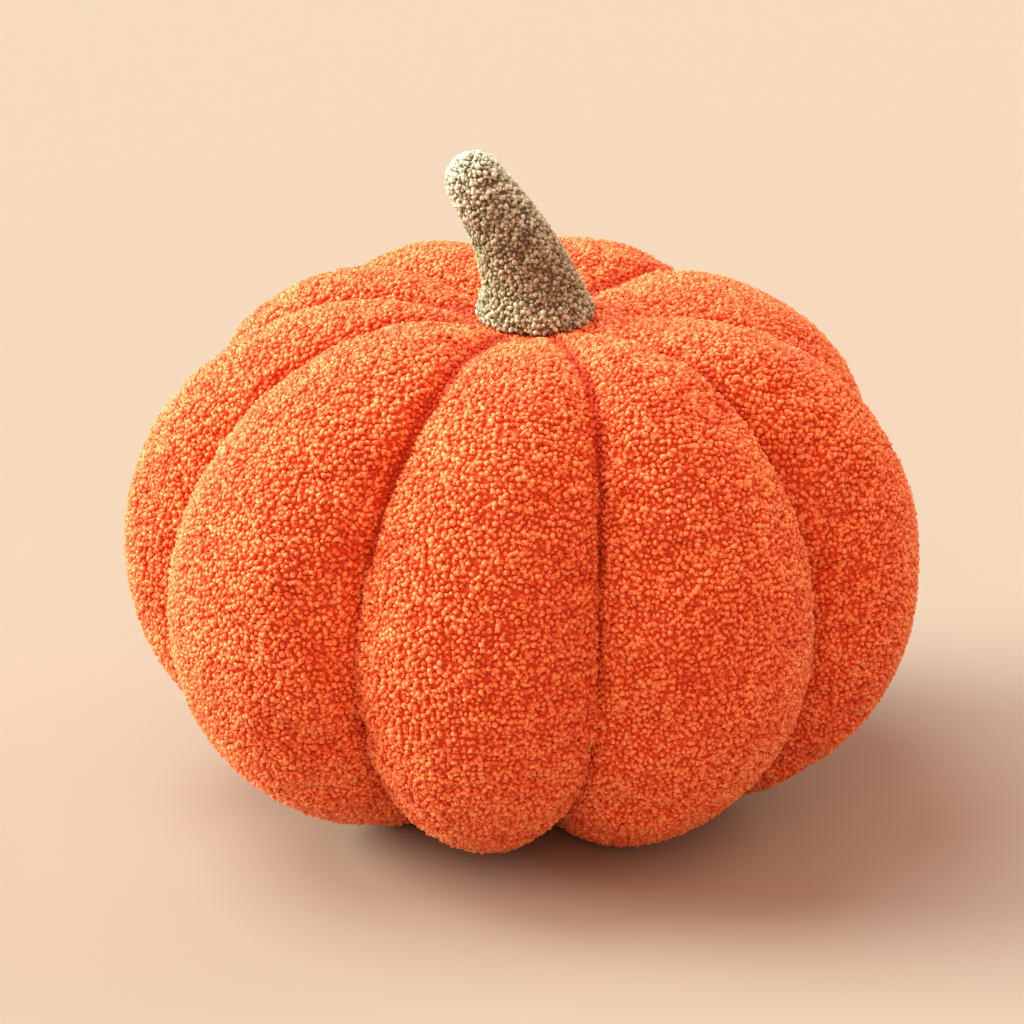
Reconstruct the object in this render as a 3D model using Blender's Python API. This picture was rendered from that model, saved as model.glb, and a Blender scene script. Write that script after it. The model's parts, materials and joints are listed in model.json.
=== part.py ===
# A pumpkin cushion: a filled body of nine curved panels sewn edge to edge, which makes nine ribs with seams
# drawn in between them, and a curved stem sewn down in the dimple at its top.
# Metres, +Z up. The body stands flat on z = 0, and the middle of its width and depth is the origin.
# The front, where rib A is, faces -Y. Every size runs to the outside of the cloth's short pile.
import math

import bmesh
import bpy
import numpy as np
from mathutils import Matrix, Vector

for old in list(bpy.data.objects):
    bpy.data.objects.remove(old)

# Body
BODY_RADIUS = 0.1612  # of a rib with a reach of 1, at the widest level
CROWN_HEIGHT = 0.2388  # the top of a rib with a crown of 1
CROWN_RADIUS = 0.0717  # where a rib is highest
WIDEST_HEIGHT = 0.1196
SEAT_RADIUS = 0.0267  # the flat disc that the stem stands on
DIMPLE_DEPTH = 0.0082  # from the ribs' tops down to the seat
FOOT_RADIUS = 0.0405  # where the underside of a rib with a foot of 1 turns up
PRESSED = 0.0035  # how far the filling's weight presses the underside flat
LOBE_ROUND = 2.25  # across a panel, from seam to seam: above 2 is squarer than an ellipse
BELLY_SEAM_DEPTH = 0.0270  # how far a seam is drawn in at the widest level
CROWN_SEAM_DEPTH = 0.0073
SOLE_SEAM_SHARE = 0.8  # of the belly seam depth, at the edge of the underside
CROWN_SWING = 1.8  # how late a seam turns to its direction at the crown
TOP_LEAN = Vector((0.0080, -0.0048))  # the dimple's offset from the body's middle

# One row for each rib, from the front one round to the right. The directions are degrees from the front,
# to the right, of the seam at the rib's right side: at the widest level, at the crown and at the foot.
RIB_COLUMNS = ("name", "seam", "seam_crown", "seam_foot", "reach", "crown", "foot")
RIBS = [
    dict(zip(RIB_COLUMNS, row))
    for row in (
        ("A", 14.5, 15.0, 13.0, 0.98, 0.998, 0.64),
        ("B", 58.5, 47.0, 63.0, 1.02, 1.001, 0.89),
        ("C", 94.5, 84.0, 95.5, 1.11, 0.995, 1.28),
        ("D", 134.5, 142.0, 134.0, 1.06, 0.970, 1.00),
        ("E", 177.0, 192.5, 177.0, 1.03, 0.985, 1.00),
        ("F", 216.0, 232.0, 216.0, 1.03, 0.994, 1.00),
        ("G", 251.0, 264.0, 251.0, 1.05, 1.006, 1.00),
        ("H", 287.0, 293.5, 279.5, 1.08, 1.003, 1.03),
        ("I", 331.0, 334.5, 326.0, 1.07, 1.011, 0.80),
    )
]

# Stem, standing on the seat
STEM_GAP = 0.0003
STEM_HEIGHT = 0.0742
STEM_LEAN = Vector((-0.0262, 0.0))  # how far the tip is from above the foot, to the left
STEM_BEND = 0.45  # the share of the height that goes nearly straight up before the lean
STEM_FOOT_RADIUS = 0.0264
STEM_NECK_RADIUS = 0.0218
STEM_TIP_RADIUS = 0.0132
FLARE_HEIGHT = 0.0130  # over which the foot's flare dies away
FLARE_ROUND = 2.5  # above 1 the foot keeps its width before it draws in

# Faces
PANEL_STRIPS = 10
ROWS = {"seat": 2, "dimple": 6, "shoulder": 14, "belly": 14, "sole": 4}
STEM_SIDES = 20
STEM_RINGS = 14
TIP_RINGS = 6


def material(name, colour, roughness):
    """A cloth's colour and roughness."""
    cloth = bpy.data.materials.new(name)
    cloth.use_nodes = True
    shader = cloth.node_tree.nodes["Principled BSDF"]
    shader.inputs["Base Color"].default_value = (*colour, 1.0)
    shader.inputs["Roughness"].default_value = roughness
    shader.inputs["Metallic"].default_value = 0.0
    return cloth


def section(rib):
    """The rib's crest and its seam line, as radius and height, from the top centre down to the bottom centre."""
    top = CROWN_HEIGHT * rib["crown"]
    seat = CROWN_HEIGHT - DIMPLE_DEPTH
    reach = BODY_RADIUS * rib["reach"]
    foot = FOOT_RADIUS * rib["foot"]
    sole_depth = BELLY_SEAM_DEPTH * SOLE_SEAM_SHARE

    share = np.arange(ROWS["seat"]) / ROWS["seat"]
    zones = [(SEAT_RADIUS * share, seat + 0 * share, 0 * share)]

    rise = np.arange(ROWS["dimple"]) / ROWS["dimple"]
    climb = np.sin(rise * math.pi / 2)
    zones.append((SEAT_RADIUS + (CROWN_RADIUS - SEAT_RADIUS) * rise, seat + (top - seat) * climb,
                  CROWN_SEAM_DEPTH * climb))

    turn = np.arange(ROWS["shoulder"]) / ROWS["shoulder"] * math.pi / 2
    out, up = np.sin(turn), np.cos(turn)
    zones.append((CROWN_RADIUS + (reach - CROWN_RADIUS) * out, WIDEST_HEIGHT + (top - WIDEST_HEIGHT) * up,
                  CROWN_SEAM_DEPTH + (BELLY_SEAM_DEPTH - CROWN_SEAM_DEPTH) * out**2))

    turn = np.arange(ROWS["belly"]) / ROWS["belly"] * math.pi / 2
    out, down = np.cos(turn), np.sin(turn)
    zones.append((foot + (reach - foot) * out, WIDEST_HEIGHT - (WIDEST_HEIGHT + PRESSED) * down,
                  BELLY_SEAM_DEPTH + (sole_depth - BELLY_SEAM_DEPTH) * down**2))

    share = 1 - np.arange(ROWS["sole"] + 1) / ROWS["sole"]
    zones.append((foot * share, 0 * share - PRESSED, sole_depth * share))

    radius, height, depth = (np.concatenate(parts) for parts in zip(*zones))
    step_out, step_up = np.gradient(radius), np.gradient(height)
    step = np.hypot(step_out, step_up)
    seam_radius = radius + depth * step_up / step
    seam_height = height - depth * step_out / step
    return [line.tolist() for line in (radius, height, seam_radius, seam_height)]


def seam_direction(index, height, in_dimple):
    """The direction of the seam at the right side of a rib, in degrees, at a height."""
    rib = RIBS[index % len(RIBS)]
    turns = -360 if index < 0 else 0
    top = CROWN_HEIGHT * rib["crown"]
    upper = 1.0 if in_dimple else max((height - WIDEST_HEIGHT) / (top - WIDEST_HEIGHT), 0) ** CROWN_SWING
    lower = max((WIDEST_HEIGHT - height) / WIDEST_HEIGHT, 0) ** 2
    return (rib["seam"] + turns + min(upper, 1.0) * (rib["seam_crown"] - rib["seam"])
            + lower * (rib["seam_foot"] - rib["seam"]))


def body_point(sections, column, row):
    """A point of the body's cloth: the column counts from rib A's left seam to the right, the row from the top."""
    index, strip = divmod(column, PANEL_STRIPS)
    across = math.sin((strip / PANEL_STRIPS - 0.5) * math.pi)
    neighbour = (index - 1) % len(RIBS) if across < 0 else (index + 1) % len(RIBS)
    crest_radius, crest_height = sections[index][0][row], sections[index][1][row]
    seam_radius = (sections[index][2][row] + sections[neighbour][2][row]) / 2
    seam_height = (sections[index][3][row] + sections[neighbour][3][row]) / 2
    drawn_in = 1 - math.sqrt(1 - min(abs(across), 1.0) ** LOBE_ROUND)
    radius = crest_radius + (seam_radius - crest_radius) * drawn_in
    height = max(crest_height + (seam_height - crest_height) * drawn_in, 0.0)

    in_dimple = row < ROWS["seat"] + ROWS["dimple"]
    left = seam_direction(index - 1, crest_height, in_dimple)
    right = seam_direction(index, crest_height, in_dimple)
    direction = math.radians((left + right) / 2 + across * (right - left) / 2)
    seat = CROWN_HEIGHT - DIMPLE_DEPTH
    raised = min(max((height - WIDEST_HEIGHT) / (seat - WIDEST_HEIGHT), 0), 1) ** 2
    flat = radius * Vector((math.sin(direction), -math.cos(direction))) + raised * TOP_LEAN
    return Vector((flat.x, flat.y, height))


def cushion_mesh():
    """The filled body: a sphere's grid of rows and columns, each point set on the ribbed form."""
    columns, rows = PANEL_STRIPS * len(RIBS), sum(ROWS.values())
    sections = [section(rib) for rib in RIBS]
    grid = bmesh.new()
    bmesh.ops.create_uvsphere(grid, u_segments=columns, v_segments=rows, radius=1.0)
    for point in grid.verts:
        row = round(math.acos(max(min(point.co.z, 1.0), -1.0)) / math.pi * rows)
        turn = math.atan2(point.co.x, -point.co.y) % (2 * math.pi)
        column = round(turn / (2 * math.pi) * columns) % columns
        point.co = body_point(sections, column, row)
    bmesh.ops.recalc_face_normals(grid, faces=grid.faces)
    return grid


def stem_mesh(foot_centre):
    """The stem: rings round a leaning spine, wide at the foot and closed by a round tip."""
    tube = bmesh.new()
    tip_share = 1 - STEM_TIP_RADIUS / STEM_HEIGHT  # where the round tip starts
    stations = [tip_share * ring / STEM_RINGS for ring in range(STEM_RINGS + 1)]
    spine_height = STEM_HEIGHT - STEM_TIP_RADIUS
    loops = []

    def spine(share):
        bent = max(share - STEM_BEND * 0.5, 0) / (1 - STEM_BEND * 0.5)
        lean = 0.35 * share + 0.65 * bent**1.4
        return foot_centre + Vector((STEM_LEAN.x * lean, STEM_LEAN.y * lean, spine_height * share))

    def ring(centre, radius, direction):
        turn = Vector((0, 0, 1)).rotation_difference(direction).to_matrix().to_4x4()
        made = bmesh.ops.create_circle(tube, cap_ends=False, segments=STEM_SIDES, radius=radius,
                                       matrix=Matrix.Translation(centre) @ turn)
        return made["verts"]

    for station in stations:
        share = station / tip_share
        height = spine_height * share
        taper = STEM_NECK_RADIUS + (STEM_TIP_RADIUS - STEM_NECK_RADIUS) * share
        flare = (STEM_FOOT_RADIUS - STEM_NECK_RADIUS) * math.exp(-((height / FLARE_HEIGHT) ** FLARE_ROUND))
        direction = (spine(share + 0.01) - spine(max(share - 0.01, 0))).normalized()
        upright = Vector((0, 0, 1)).lerp(direction, min(share * 4, 1.0)).normalized()
        loops.append(ring(spine(share), taper + flare, upright))
    end = spine(1.0)
    direction = (end - spine(0.98)).normalized()
    for step in range(1, TIP_RINGS):
        turn = step / TIP_RINGS * math.pi / 2
        centre = end + direction * STEM_TIP_RADIUS * math.sin(turn)
        loops.append(ring(centre, STEM_TIP_RADIUS * math.cos(turn), direction))
    for lower, upper in zip(loops, loops[1:]):
        for side in range(STEM_SIDES):
            after = (side + 1) % STEM_SIDES
            tube.faces.new((lower[side], lower[after], upper[after], upper[side]))
    tube.faces.new(list(reversed(loops[0])))
    peak = tube.verts.new(end + direction * STEM_TIP_RADIUS)
    for side in range(STEM_SIDES):
        tube.faces.new((loops[-1][side], loops[-1][(side + 1) % STEM_SIDES], peak))
    bmesh.ops.recalc_face_normals(tube, faces=tube.faces)
    return tube


def add_object(name, shape, cloth, sharp_degrees):
    """A named object from a finished shape, shaded smooth but for its seams."""
    mesh = bpy.data.meshes.new(name)
    shape.to_mesh(mesh)
    shape.free()
    mesh.materials.append(cloth)
    mesh.shade_smooth()
    mesh.set_sharp_from_angle(angle=math.radians(sharp_degrees))
    made = bpy.data.objects.new(name, mesh)
    bpy.context.scene.collection.objects.link(made)
    return made


body_shape = cushion_mesh()
low = Vector(min(point.co[axis] for point in body_shape.verts) for axis in range(3))
high = Vector(max(point.co[axis] for point in body_shape.verts) for axis in range(3))
to_middle = Vector((-(low.x + high.x) / 2, -(low.y + high.y) / 2, 0.0))
bmesh.ops.translate(body_shape, verts=body_shape.verts, vec=to_middle)
seat_centre = Vector((TOP_LEAN.x, TOP_LEAN.y, CROWN_HEIGHT - DIMPLE_DEPTH)) + to_middle

orange = material("orange pile cloth", (0.84, 0.17, 0.045), 0.95)
sage = material("grey-green pile cloth", (0.34, 0.29, 0.18), 0.95)
cushion = add_object("cushion", body_shape, orange, 50)
stem = add_object("stem", stem_mesh(seat_centre + Vector((0, 0, STEM_GAP))), sage, 60)
stem.parent = cushion
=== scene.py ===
import json
import math
import time

import bmesh
import bpy
import numpy as np
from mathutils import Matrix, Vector, noise
from mathutils.kdtree import KDTree

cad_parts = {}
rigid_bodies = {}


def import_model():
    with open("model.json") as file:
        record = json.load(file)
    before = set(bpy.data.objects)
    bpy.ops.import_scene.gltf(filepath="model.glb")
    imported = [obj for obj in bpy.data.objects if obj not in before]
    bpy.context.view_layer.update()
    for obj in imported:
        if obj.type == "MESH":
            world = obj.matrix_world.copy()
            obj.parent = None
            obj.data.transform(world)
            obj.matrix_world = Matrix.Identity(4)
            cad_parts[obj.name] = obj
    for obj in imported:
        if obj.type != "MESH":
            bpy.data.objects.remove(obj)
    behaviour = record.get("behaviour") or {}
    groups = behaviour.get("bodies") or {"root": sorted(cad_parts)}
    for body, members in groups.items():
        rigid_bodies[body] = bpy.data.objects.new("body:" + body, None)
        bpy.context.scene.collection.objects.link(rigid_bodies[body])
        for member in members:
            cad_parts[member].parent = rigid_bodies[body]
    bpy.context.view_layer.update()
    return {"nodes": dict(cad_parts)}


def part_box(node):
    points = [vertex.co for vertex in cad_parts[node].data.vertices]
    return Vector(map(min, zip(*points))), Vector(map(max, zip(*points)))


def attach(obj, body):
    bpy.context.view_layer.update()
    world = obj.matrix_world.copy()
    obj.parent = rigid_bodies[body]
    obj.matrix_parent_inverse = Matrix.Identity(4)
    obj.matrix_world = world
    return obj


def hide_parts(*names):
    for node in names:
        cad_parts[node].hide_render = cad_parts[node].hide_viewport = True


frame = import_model()
scene = bpy.context.scene
started = time.time()
tiny = 1e-6  # keeps a division by a length from failing


def report(stage):
    print(f"{time.time() - started:6.1f} s  {stage}")


def selectOnly(piece):
    bpy.ops.object.select_all(action="DESELECT")
    piece.select_set(True)
    bpy.context.view_layer.objects.active = piece


def applyModifier(piece, modifier):
    selectOnly(piece)
    bpy.ops.object.modifier_apply(modifier=modifier.name)


def places(piece):
    flat = np.empty(len(piece.data.vertices) * 3)
    piece.data.vertices.foreach_get("co", flat)
    return flat.reshape(-1, 3)


def directions(piece):
    flat = np.empty(len(piece.data.vertices) * 3)
    piece.data.vertex_normals.foreach_get("vector", flat)
    return flat.reshape(-1, 3)


def faceCentres(piece):
    flat = np.empty(len(piece.data.polygons) * 3)
    piece.data.polygons.foreach_get("center", flat)
    return flat.reshape(-1, 3)


def setPlaces(piece, points):
    piece.data.vertices.foreach_set("co", np.ascontiguousarray(points).ravel())
    piece.data.update()


def store(piece, name, values):
    piece.data.attributes.new(name, "FLOAT", "POINT").data.foreach_set("value", values)


def triangles(piece):
    return sum(len(face.vertices) - 2 for face in piece.data.polygons)


# Copies of the frame's solids, as one skin each

mergeWithin = 0.00005  # the frame's triangles share no corners until they are merged


def skinOf(nodeName, name):
    skin = frame["nodes"][nodeName].copy()
    skin.data = skin.data.copy()
    skin.name = skin.data.name = name
    skin.parent = None
    scene.collection.objects.link(skin)
    selectOnly(skin)
    bpy.ops.object.mode_set(mode="EDIT")
    bpy.ops.mesh.select_all(action="SELECT")
    bpy.ops.mesh.remove_doubles(threshold=mergeWithin)
    bpy.ops.object.mode_set(mode="OBJECT")
    return skin


# The seams are the creases of the cushion's solid. They split its skin into the sewn panels.

seams = {"creaseDegrees": 24, "spacing": 0.0015, "drawIn": 0.0036, "drawWidth": 0.0026}


def readSeams(skin):
    shape = bmesh.new()
    shape.from_mesh(skin.data)
    shape.faces.ensure_lookup_table()
    crease = math.radians(seams["creaseDegrees"])
    sewn = {edge for edge in shape.edges
            if len(edge.link_faces) == 2 and edge.calc_face_angle_signed(0) < -crease}
    line = []
    for edge in sewn:
        a, b = edge.verts[0].co, edge.verts[1].co
        steps = max(int(edge.calc_length() / seams["spacing"]), 1)
        line += [a.lerp(b, step / steps) for step in range(steps + 1)]
    tree = KDTree(len(line))
    for index, point in enumerate(line):
        tree.insert(point, index)
    tree.balance()
    shape.free()
    return tree


def seamDistance(tree, points):
    return np.array([tree.find(point)[2] for point in points])


# Puffing: the skin is set in by the pile's depth, remeshed, and blown up a little with its seams held

puff = {"voxel": 0.0034, "setIn": 0.0022, "pressure": 4.0, "frames": 20, "quality": 5, "cap": 0.0030,
        "heldWidth": 0.004, "stretch": -0.02, "floorHeight": 0.004}
stemPuff = {"voxel": 0.002, "setIn": 0.0014, "pressure": 4.0, "frames": 12, "quality": 5, "cap": 0.0015,
            "heldWidth": 0.004, "stretch": -0.01}


def puffUp(skin, values, isHeld):
    setPlaces(skin, places(skin) - directions(skin) * values["setIn"])
    remesh = skin.modifiers.new("even cells", "REMESH")
    remesh.mode = "VOXEL"
    remesh.voxel_size = values["voxel"]
    remesh.use_smooth_shade = True
    applyModifier(skin, remesh)
    before = places(skin)
    held = skin.vertex_groups.new(name="sewn")
    held.add([int(index) for index in np.flatnonzero(isHeld(before))], 1.0, "REPLACE")
    cloth = skin.modifiers.new("filling", "CLOTH")
    cloth.settings.vertex_group_mass = held.name
    cloth.settings.use_pressure = True
    cloth.settings.uniform_pressure_force = values["pressure"]
    cloth.settings.shrink_min = values["stretch"]
    cloth.settings.effector_weights.gravity = 0.0
    cloth.settings.quality = values["quality"]
    cloth.point_cache.frame_start = 1
    cloth.point_cache.frame_end = values["frames"]
    for step in range(1, values["frames"] + 1):
        scene.frame_set(step)
    applyModifier(skin, cloth)
    move = places(skin) - before
    length = np.linalg.norm(move, axis=1, keepdims=True)
    move *= np.minimum(1.0, values["cap"] / np.maximum(length, tiny))
    setPlaces(skin, before + move)
    scene.frame_set(1)
    report(f"{skin.name} puffed, moved {length.mean() * 1000:.1f} mm, most {length.max() * 1000:.1f} mm")


cushion = skinOf("cushion", "cushionCloth")
seamTree = readSeams(cushion)

# Folds that run out from the seams where the thread gathers the cloth, and the filling's slow unevenness.
# Both are measured on a round body of this radius, with its middle at this height, and fade at the floor.
folds = {"depth": 0.0011, "reach": 0.020, "length": 0.060, "width": 0.0115, "pattern": 0.5,
         "lumpDepth": 0.0008, "lumpSize": 0.045,
         "bodyRadius": 0.16, "bodyMiddle": 0.12, "fullFrom": 0.03}


def cushionHeld(points):
    nearSeam = seamDistance(seamTree, points) < puff["heldWidth"] + puff["setIn"]
    return nearSeam | (points[:, 2] < puff["floorHeight"])


def drawInSeams(cloth):
    points, outward = places(cloth), directions(cloth)
    across, deep, high = points.T.copy()
    far = seamDistance(seamTree, points)
    clear = high > puff["floorHeight"]
    roundBody = np.arctan2(across, -deep) * folds["bodyRadius"]
    upBody = np.arctan2(high - folds["bodyMiddle"], np.hypot(across, deep)) * folds["bodyRadius"]
    gather = np.array([noise.noise((along / folds["length"], up / folds["width"], folds["pattern"]))
                       for along, up in zip(roundBody, upBody)])
    lump = np.array([noise.noise(Vector(point) / folds["lumpSize"]) for point in points])
    swell = folds["depth"] * gather * np.exp(-(far / folds["reach"]) ** 2) + folds["lumpDepth"] * lump
    points += outward * (swell * np.minimum(high / folds["fullFrom"], 1))[:, None]
    fromThread = np.maximum(far - puff["setIn"], 0)
    depth = seams["drawIn"] * np.exp(-(fromThread / seams["drawWidth"]) ** 2) * clear
    inward = points * (1, 1, 0)
    inward /= np.maximum(np.linalg.norm(inward, axis=1, keepdims=True), tiny)
    setPlaces(cloth, points - inward * depth[:, None])
    store(cloth, "fromSeam", fromThread)


puffUp(cushion, puff, cushionHeld)
drawInSeams(cushion)
report(f"cushion cloth has {triangles(cushion)} triangles")

stem = skinOf("stem", "stemCloth")
stemLow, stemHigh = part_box("stem")

# The stem's left side stays full down to the foot, and has no seam that shows
plump = {"depth": 0.0016, "height": 0.017, "spread": 0.011, "clearOfSeam": 1.0}


def stemHeld(points):
    return points[:, 2] < stemLow[2] + stemPuff["heldWidth"]


def plumpFoot(cloth):
    points, outward = places(cloth), directions(cloth)
    aboveFoot = points[:, 2] - stemLow[2] - plump["height"]
    swell = plump["depth"] * np.exp(-(aboveFoot / plump["spread"]) ** 2)
    setPlaces(cloth, points + outward * (swell * np.clip(-outward[:, 0], 0, 1))[:, None])
    store(cloth, "fromSeam", [plump["clearOfSeam"]] * len(points))


puffUp(stem, stemPuff, stemHeld)
plumpFoot(stem)
report(f"stem cloth has {triangles(stem)} triangles")


# One curl of each form, lying along X with its root at the origin

curlForms = {
    # name: length, width, height, sideways bend, drop of the ends
    "nub": (1.05, 1.00, 1.20, 0.00, 0.05),
    "bean": (1.30, 0.92, 1.15, 0.18, 0.15),
    "worm": (1.60, 0.82, 1.05, 0.40, 0.25),
    "hook": (1.20, 0.90, 1.35, 0.25, 0.40),
    "ring": (1.45, 0.84, 1.05, 0.50, 0.35),
}
curlStand = {"rise": 0.14, "bendBalance": 0.4}  # rise is a share of the height; the bend is nil at the other


def curlSet(prefix, clothMaterial):
    kept = bpy.data.collections.new(prefix + "Curls")
    scene.collection.children.link(kept)
    for name, (length, width, height, bend, drop) in curlForms.items():
        bpy.ops.object.select_all(action="DESELECT")
        bpy.ops.mesh.primitive_ico_sphere_add(subdivisions=1, radius=0.5)
        curl = bpy.context.active_object
        curl.name = curl.data.name = prefix + name.capitalize()
        for parts in (curl.data.vertices, curl.data.edges, curl.data.polygons):
            parts.foreach_set("select", [False] * len(parts))
        min(curl.data.vertices, key=lambda point: point.co.z).select = True
        bpy.ops.object.mode_set(mode="EDIT")
        bpy.ops.mesh.select_mode(type="VERT")
        bpy.ops.mesh.delete(type="VERT")  # the root is open, down in the cloth
        bpy.ops.mesh.select_all(action="SELECT")
        bpy.ops.transform.resize(value=(length, width, height))
        bpy.ops.object.mode_set(mode="OBJECT")
        points = places(curl)
        along = (points[:, 0] / (length / 2)) ** 2
        points[:, 1] += bend * (along - curlStand["bendBalance"])
        points[:, 2] += height * curlStand["rise"] - drop * along
        setPlaces(curl, points)
        low, high = points[:, 2].min(), points[:, 2].max()
        # height up the curl, which sets its colour from the root's painted shade to the tip's painted
        # highlight
        store(curl, "tip", (points[:, 2] - low) / (high - low))
        curl.data.materials.append(clothMaterial)
        curl.data.shade_smooth()
        for owner in list(curl.users_collection):
            owner.objects.unlink(curl)
        kept.objects.link(curl)
    return kept


# Short ways to make the nodes that come again and again. A value may be a number or another node's socket.

def feed(tree, socket, value):
    if isinstance(value, bpy.types.NodeSocket):
        tree.links.new(value, socket)
    else:
        socket.default_value = value


def mathNode(tree, operation, *values):
    node = tree.nodes.new("ShaderNodeMath")
    node.operation = operation
    for socket, value in zip(node.inputs, values):
        feed(tree, socket, value)
    return node.outputs[0]


def rangeNode(tree, value, given, out=(0.0, 1.0)):
    node = tree.nodes.new("ShaderNodeMapRange")
    for name, edge in zip(("From Min", "From Max", "To Min", "To Max"), (*given, *out)):
        node.inputs[name].default_value = edge
    feed(tree, node.inputs["Value"], value)
    return node.outputs[0]


def noiseNode(tree, vector, scale, detail):
    node = tree.nodes.new("ShaderNodeTexNoise")
    node.inputs["Detail"].default_value = detail
    feed(tree, node.inputs["Vector"], vector)
    feed(tree, node.inputs["Scale"], scale)
    return node.outputs["Fac"]


def storedNode(tree, name):
    node = tree.nodes.new("ShaderNodeAttribute")
    node.attribute_name = name
    return node.outputs["Fac"]


# Geometry Nodes group that strews curls over a cloth face by face and realizes them

def strewGroup(name, values, curls):
    tree = bpy.data.node_groups.new(name, "GeometryNodeTree")
    tree.is_modifier = True
    tree.interface.new_socket("Cloth", in_out="INPUT", socket_type="NodeSocketGeometry")
    tree.interface.new_socket("Seed", in_out="INPUT", socket_type="NodeSocketInt")
    tree.interface.new_socket("Pile", in_out="OUTPUT", socket_type="NodeSocketGeometry")
    link = tree.links.new
    given = tree.nodes.new("NodeGroupInput")
    out = tree.nodes.new("NodeGroupOutput")

    strew = tree.nodes.new("GeometryNodeDistributePointsOnFaces")
    strew.distribute_method = "POISSON"
    strew.inputs["Distance Min"].default_value = values["spacing"]
    strew.inputs["Density Max"].default_value = values["tries"] / values["spacing"] ** 2
    link(given.outputs["Cloth"], strew.inputs["Mesh"])
    link(given.outputs["Seed"], strew.inputs["Seed"])

    # each curl leans a little and points its own way
    turn = tree.nodes.new("FunctionNodeRandomValue")
    turn.data_type = "FLOAT_VECTOR"
    tilt = math.radians(values["tiltDegrees"])
    turn.inputs[0].default_value = (-tilt, -tilt, 0)
    turn.inputs[1].default_value = (tilt, tilt, 2 * math.pi)
    link(given.outputs["Seed"], turn.inputs["Seed"])
    asRotation = tree.nodes.new("FunctionNodeEulerToRotation")
    link(turn.outputs[0], asRotation.inputs[0])
    turned = tree.nodes.new("FunctionNodeRotateRotation")
    turned.rotation_space = "LOCAL"
    link(strew.outputs["Rotation"], turned.inputs["Rotation"])
    link(asRotation.outputs[0], turned.inputs["Rotate By"])

    # sizes vary, and curls near a seam are smaller
    size = tree.nodes.new("FunctionNodeRandomValue")
    size.data_type = "FLOAT"
    size.inputs[2].default_value = values["size"] * (1 - values["sizeSpread"])
    size.inputs[3].default_value = values["size"] * (1 + values["sizeSpread"])
    link(given.outputs["Seed"], size.inputs["Seed"])
    fromSeam = tree.nodes.new("GeometryNodeInputNamedAttribute")
    fromSeam.data_type = "FLOAT"
    fromSeam.inputs["Name"].default_value = "fromSeam"
    atSeam = rangeNode(tree, fromSeam.outputs[0], (0.0, values["seamReach"]), (values["seamSize"], 1.0))
    sized = mathNode(tree, "MULTIPLY", size.outputs[1], atSeam)

    curl = tree.nodes.new("GeometryNodeCollectionInfo")
    curl.inputs["Collection"].default_value = curls
    curl.inputs["Separate Children"].default_value = True
    curl.inputs["Reset Children"].default_value = True
    place = tree.nodes.new("GeometryNodeInstanceOnPoints")
    place.inputs["Pick Instance"].default_value = True
    link(strew.outputs["Points"], place.inputs["Points"])
    link(curl.outputs[0], place.inputs["Instance"])
    link(turned.outputs[0], place.inputs["Rotation"])
    link(sized, place.inputs["Scale"])

    tone = tree.nodes.new("FunctionNodeRandomValue")
    tone.data_type = "FLOAT"
    link(given.outputs["Seed"], tone.inputs["Seed"])
    keep = tree.nodes.new("GeometryNodeStoreNamedAttribute")
    keep.data_type = "FLOAT"
    keep.domain = "INSTANCE"
    keep.inputs["Name"].default_value = "tone"
    link(place.outputs[0], keep.inputs["Geometry"])
    link(tone.outputs[1], keep.inputs["Value"])
    real = tree.nodes.new("GeometryNodeRealizeInstances")
    link(keep.outputs[0], real.inputs[0])

    # nothing goes through the floor: what would is pressed flat on it
    where = tree.nodes.new("GeometryNodeInputPosition")
    apart = tree.nodes.new("ShaderNodeSeparateXYZ")
    link(where.outputs[0], apart.inputs[0])
    joined = tree.nodes.new("ShaderNodeCombineXYZ")
    link(apart.outputs["X"], joined.inputs["X"])
    link(apart.outputs["Y"], joined.inputs["Y"])
    link(mathNode(tree, "MAXIMUM", apart.outputs["Z"], 0.0), joined.inputs["Z"])
    press = tree.nodes.new("GeometryNodeSetPosition")
    link(real.outputs[0], press.inputs["Geometry"])
    link(joined.outputs[0], press.inputs["Position"])
    link(press.outputs[0], out.inputs["Pile"])
    return tree


# Materials: one shader group colours both piles from root to tip, with its own colours in each: a darker root
# as painted shade between the curls and a paler tip as painted highlight

shading = {"patchSwing": 0.5, "fibreSwing": 2.4,  # how far patches and fibres move the level, end to end
           "seamShadeWidth": 0.0020, "seamShadeDrop": -0.60,  # how near a seam the cloth is darkened as painted shade, and by how much
           "toMiddle": (0.15, 0.65), "toTip": (0.60, 1.10)}  # levels where the colours change over


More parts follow.
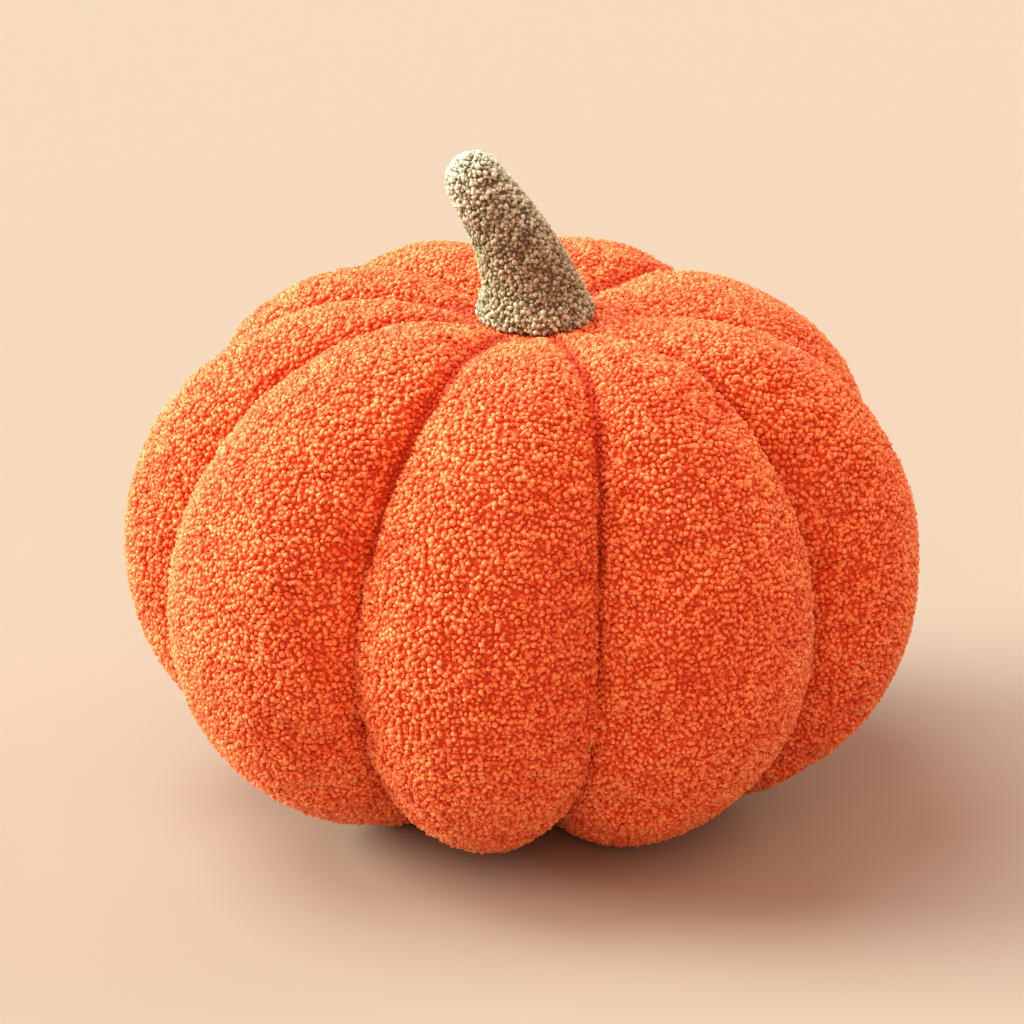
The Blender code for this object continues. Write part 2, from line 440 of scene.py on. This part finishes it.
def pileGroup():
    tree = bpy.data.node_groups.new("curlyPile", "ShaderNodeTree")
    face = tree.interface
    for name in ("Root Color", "Mid Color", "Tip Color"):
        face.new_socket(name, in_out="INPUT", socket_type="NodeSocketColor")
    for name in ("Tone Spread", "Patch Size", "Fibre Size"):
        face.new_socket(name, in_out="INPUT", socket_type="NodeSocketFloat")
    face.new_socket("Color", in_out="OUTPUT", socket_type="NodeSocketColor")
    face.new_socket("Fibre", in_out="OUTPUT", socket_type="NodeSocketFloat")
    link = tree.links.new
    given = tree.nodes.new("NodeGroupInput")
    out = tree.nodes.new("NodeGroupOutput")
    at = tree.nodes.new("ShaderNodeTexCoord")
    patches = noiseNode(tree, at.outputs["Object"], given.outputs["Patch Size"], 2.0)
    fibres = noiseNode(tree, at.outputs["Object"], given.outputs["Fibre Size"], 3.0)

    # the level runs from root to tip; a curl's own tone, patches and fibres push it up or down, and a near
    # seam pushes it down as painted shade
    tone = mathNode(tree, "SUBTRACT", storedNode(tree, "tone"), 0.5)
    pushes = (
        mathNode(tree, "MULTIPLY", tone, given.outputs["Tone Spread"]),
        mathNode(tree, "MULTIPLY_ADD", patches, shading["patchSwing"], -shading["patchSwing"] / 2),
        mathNode(tree, "MULTIPLY_ADD", fibres, shading["fibreSwing"], -shading["fibreSwing"] / 2),
        rangeNode(tree, storedNode(tree, "fromSeam"), (0.0, shading["seamShadeWidth"]), (shading["seamShadeDrop"], 0.0)),
    )
    level = storedNode(tree, "tip")
    for push in pushes:
        level = mathNode(tree, "ADD", level, push)

    # the colour runs from the root's painted shade through the middle colour to the tip's painted highlight
    colour = given.outputs["Root Color"]
    for span, nextColour in (("toMiddle", "Mid Color"), ("toTip", "Tip Color")):
        mix = tree.nodes.new("ShaderNodeMix")
        mix.data_type = "RGBA"
        link(rangeNode(tree, level, shading[span]), mix.inputs["Factor"])
        link(colour, mix.inputs[6])
        link(given.outputs[nextColour], mix.inputs[7])
        colour = mix.outputs[2]
    link(colour, out.inputs["Color"])
    link(fibres, out.inputs["Fibre"])
    return tree


pileShading = pileGroup()


def stemZones(tree, pile, values):
    # sage at the tip and along the foot, browner between, with uneven borders
    at = tree.nodes.new("ShaderNodeTexCoord")
    apart = tree.nodes.new("ShaderNodeSeparateXYZ")
    tree.links.new(at.outputs["Object"], apart.inputs[0])
    height = rangeNode(tree, apart.outputs["Z"], (stemLow[2], stemHigh[2]))
    uneven = noiseNode(tree, at.outputs["Object"], values["zoneScale"], 2.0)
    shift = mathNode(tree, "MULTIPLY_ADD", uneven, values["zoneSpread"], -values["zoneSpread"] / 2)
    level = mathNode(tree, "ADD", height, shift)
    for socket, key in (("Mid Color", "zones"), ("Tip Color", "zoneTips")):
        ramp = tree.nodes.new("ShaderNodeValToRGB")
        stops = ramp.color_ramp.elements
        stops.remove(stops[1])
        for place, colour in values[key]:
            stop = stops[0] if place == 0 else stops.new(place)
            stop.color = (*colour, 1)
        tree.links.new(level, ramp.inputs["Fac"])
        tree.links.new(ramp.outputs["Color"], pile.inputs[socket])


def pileMaterial(name, values):
    cloth = bpy.data.materials.new(name)
    cloth.use_nodes = True
    tree = cloth.node_tree
    shader = tree.nodes["Principled BSDF"]
    shader.inputs["Roughness"].default_value = values["roughness"]
    shader.inputs["Specular IOR Level"].default_value = values["specular"]
    shader.inputs["Sheen Weight"].default_value = values["sheen"]
    shader.inputs["Sheen Roughness"].default_value = values["sheenRoughness"]
    shader.inputs["Sheen Tint"].default_value = (*values["sheenTint"], 1)
    pile = tree.nodes.new("ShaderNodeGroup")
    pile.node_tree = pileShading
    for socket, key in (("Root Color", "root"), ("Mid Color", "middle"), ("Tip Color", "tip")):
        if key in values:
            pile.inputs[socket].default_value = (*values[key], 1)
    pile.inputs["Tone Spread"].default_value = values["toneSpread"]
    pile.inputs["Patch Size"].default_value = values["patchScale"]
    pile.inputs["Fibre Size"].default_value = values["fibreScale"]
    if "zones" in values:
        stemZones(tree, pile, values)
    bump = tree.nodes.new("ShaderNodeBump")
    bump.inputs["Strength"].default_value = values["fibreStrength"]
    bump.inputs["Distance"].default_value = values["fibreDepth"]
    tree.links.new(pile.outputs["Color"], shader.inputs["Base Color"])
    tree.links.new(pile.outputs["Fibre"], bump.inputs["Height"])
    tree.links.new(bump.outputs[0], shader.inputs["Normal"])
    return cloth


# orange curls: the dark root is painted shade between the curls, the middle is the cloth's orange, the pale
# tip is painted highlight
orangeLook = {"root": (0.60, 0.040, 0.0006), "middle": (0.84, 0.080, 0.0018), "tip": (0.97, 0.345, 0.115),
              "roughness": 0.55, "specular": 0.50, "sheen": 0.30, "sheenRoughness": 0.35,
              "sheenTint": (1.0, 0.66, 0.42), "toneSpread": 0.30, "patchScale": 45, "fibreScale": 950,
              "fibreStrength": 1.0, "fibreDepth": 0.0005}
# zones and zoneTips give the middle and the paler tip colours of the curls, each with its place up the stem;
# the tips' paleness is painted highlight and the dark root is painted shade between the curls
stemLook = {"root": (0.11, 0.075, 0.035),
            "zones": ((0.0, (0.32, 0.33, 0.23)), (0.12, (0.28, 0.27, 0.18)), (0.26, (0.21, 0.175, 0.10)),
                      (0.60, (0.24, 0.21, 0.13)), (0.80, (0.42, 0.41, 0.30)), (1.0, (0.50, 0.51, 0.40))),
            "zoneTips": ((0.0, (0.66, 0.67, 0.53)), (0.12, (0.60, 0.58, 0.44)), (0.26, (0.50, 0.43, 0.30)),
                         (0.60, (0.54, 0.49, 0.36)), (0.80, (0.80, 0.79, 0.65)), (1.0, (0.86, 0.86, 0.75))),
            "zoneScale": 45, "zoneSpread": 0.5,
            "roughness": 0.7, "specular": 0.3, "sheen": 0.5, "sheenRoughness": 0.40,
            "sheenTint": (0.95, 0.92, 0.78), "toneSpread": 0.5, "patchScale": 60, "fibreScale": 950,
            "fibreStrength": 1.0, "fibreDepth": 0.0005}
orangePile = pileMaterial("orangePile", orangeLook)
stemPile = pileMaterial("stemPile", stemLook)
cushion.data.materials.clear()
cushion.data.materials.append(orangePile)
stem.data.materials.clear()
stem.data.materials.append(stemPile)


# The pile of each panel is a piece of its own, and so is the stem's

panelLetters = "ABCDEFGHI"
clothLevel = 0.42  # the cloth between the curls takes the colour from this far up a curl, part way from the root's painted shade to the middle
bodyPile = {"spacing": 0.00202, "tries": 8.0, "tiltDegrees": 38, "size": 0.00300, "sizeSpread": 0.20,
            "seamReach": 0.003, "seamSize": 0.85}
stemPileValues = {"spacing": 0.00165, "tries": 8.0, "tiltDegrees": 45, "size": 0.00255, "sizeSpread": 0.25,
                  "seamReach": 0.006, "seamSize": 1.0, "seed": 21}


def strewn(cloth, name, group, seed, faces=None):
    pile = cloth.copy()
    pile.data = cloth.data.copy()
    pile.name = pile.data.name = name
    scene.collection.objects.link(pile)
    if faces is not None:
        shape = bmesh.new()
        shape.from_mesh(pile.data)
        shape.faces.ensure_lookup_table()
        bmesh.ops.delete(shape, geom=[face for face in shape.faces if not faces[face.index]], context="FACES")
        shape.to_mesh(pile.data)
        shape.free()
    modifier = pile.modifiers.new("pile", "NODES")
    modifier.node_group = group
    modifier[group.interface.items_tree["Seed"].identifier] = seed
    applyModifier(pile, modifier)
    pile.data.materials.clear()
    pile.data.materials.append(cloth.data.materials[0])
    return pile


bodyCurls = curlSet("body", orangePile)
bodyStrew = strewGroup("strewBody", bodyPile, bodyCurls)
centres = faceCentres(cushion)
turns = (np.degrees(np.arctan2(centres[:, 0], -centres[:, 1])) + 360) % 360
panelTurn = 360 / len(panelLetters)
panels = []
for index, letter in enumerate(panelLetters):
    start = panelTurn * index
    inPanel = (turns >= start) & (turns < start + panelTurn)
    panels.append(strewn(cushion, "pile" + letter, bodyStrew, index + 1, inPanel))
report(f"body pile has {sum(triangles(panel) for panel in panels)} triangles")

stemCurls = curlSet("stem", stemPile)
stemStrew = strewGroup("strewStem", stemPileValues, stemCurls)
stemPilePiece = strewn(stem, "pileStem", stemStrew, stemPileValues["seed"])
report(f"stem pile has {triangles(stemPilePiece)} triangles")

# the cloth between the curls gets its colour part way up from the root's painted shade
for cloth in (cushion, stem):
    store(cloth, "tip", [clothLevel] * len(cloth.data.vertices))

for kept in (bodyCurls, stemCurls):
    for curl in list(kept.objects):
        bpy.data.objects.remove(curl)
    bpy.data.collections.remove(kept)


# Every piece rides on the one body

for piece in [cushion, stem, stemPilePiece, *panels]:
    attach(piece, "root")
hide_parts("cushion")
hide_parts("stem")


# Studio: a peach floor, a low key light from the left with a steep one above it, and weak lights round about

studio = {"floor": (0.395, 0.308, 0.270), "floorRoughness": 0.9, "floorSpecular": 0.1, "floorSize": 40,
          "sky": (1.0, 0.58, 0.54), "skyStrength": 0.66, "backdrop": (0.80, 0.62, 0.46), "lampDistance": 3}
lamps = {
    # name: strength, angle across, turn from the back, height, colour
    "key": (6.3, 32, -84, 23, (0.88, 1.00, 0.78)),
    "upper": (2.5, 40, -72, 66, (0.74, 1.00, 0.94)),
    "back": (1.2, 40, 62, 26, (0.86, 1.00, 0.60)),
    "behind": (0.6, 40, 0, 20, (1.00, 0.95, 0.90)),
    "front": (1.1, 60, 180, 40, (1.00, 0.50, 0.20)),
}

bpy.ops.object.select_all(action="DESELECT")
bpy.ops.mesh.primitive_plane_add(size=studio["floorSize"], location=(0, 0, 0))
floor = bpy.context.active_object
floor.name = "floor"
paint = bpy.data.materials.new("floorPaint")
paint.use_nodes = True
floorShader = paint.node_tree.nodes["Principled BSDF"]
floorShader.inputs["Base Color"].default_value = (*studio["floor"], 1)
floorShader.inputs["Roughness"].default_value = studio["floorRoughness"]
floorShader.inputs["Specular IOR Level"].default_value = studio["floorSpecular"]
floor.data.materials.append(paint)

world = bpy.data.worlds.new("sky")
world.use_nodes = True
sky = world.node_tree
glow = sky.nodes["Background"]
glow.inputs["Color"].default_value = (*studio["sky"], 1)
glow.inputs["Strength"].default_value = studio["skyStrength"]
backdrop = sky.nodes.new("ShaderNodeBackground")  # what shows above the floor's far edge
backdrop.inputs["Color"].default_value = (*studio["backdrop"], 1)
seen = sky.nodes.new("ShaderNodeLightPath")
either = sky.nodes.new("ShaderNodeMixShader")
sky.links.new(seen.outputs["Is Camera Ray"], either.inputs[0])
sky.links.new(glow.outputs[0], either.inputs[1])
sky.links.new(backdrop.outputs[0], either.inputs[2])
sky.links.new(either.outputs[0], sky.nodes["World Output"].inputs["Surface"])
scene.world = world

for name, (strength, across, turn, height, colour) in lamps.items():
    aside, up = math.radians(turn), math.radians(height)
    toLamp = Vector((math.sin(aside) * math.cos(up), math.cos(aside) * math.cos(up), math.sin(up)))
    bpy.ops.object.light_add(type="SUN", location=toLamp * studio["lampDistance"])
    lamp = bpy.context.active_object
    lamp.name = name
    lamp.rotation_euler = toLamp.to_track_quat("Z", "Y").to_euler()
    lamp.data.energy = strength
    lamp.data.angle = math.radians(across)
    lamp.data.color = colour

scene.view_settings.view_transform = "Standard"

view = {"target": (-0.0036, -0.0026, 0.1351), "distance": 2.241, "downDegrees": 23.1, "lens": 177.2,
        "sensor": 36}
down = math.radians(view["downDegrees"])
back = Vector((0, -math.cos(down), math.sin(down)))
bpy.ops.object.camera_add(location=Vector(view["target"]) + back * view["distance"],
                          rotation=(math.pi / 2 - down, 0, 0))
camera = bpy.context.active_object
camera.data.sensor_width = view["sensor"]
camera.data.lens = view["lens"]
scene.camera = camera

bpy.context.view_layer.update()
report("scene is ready")
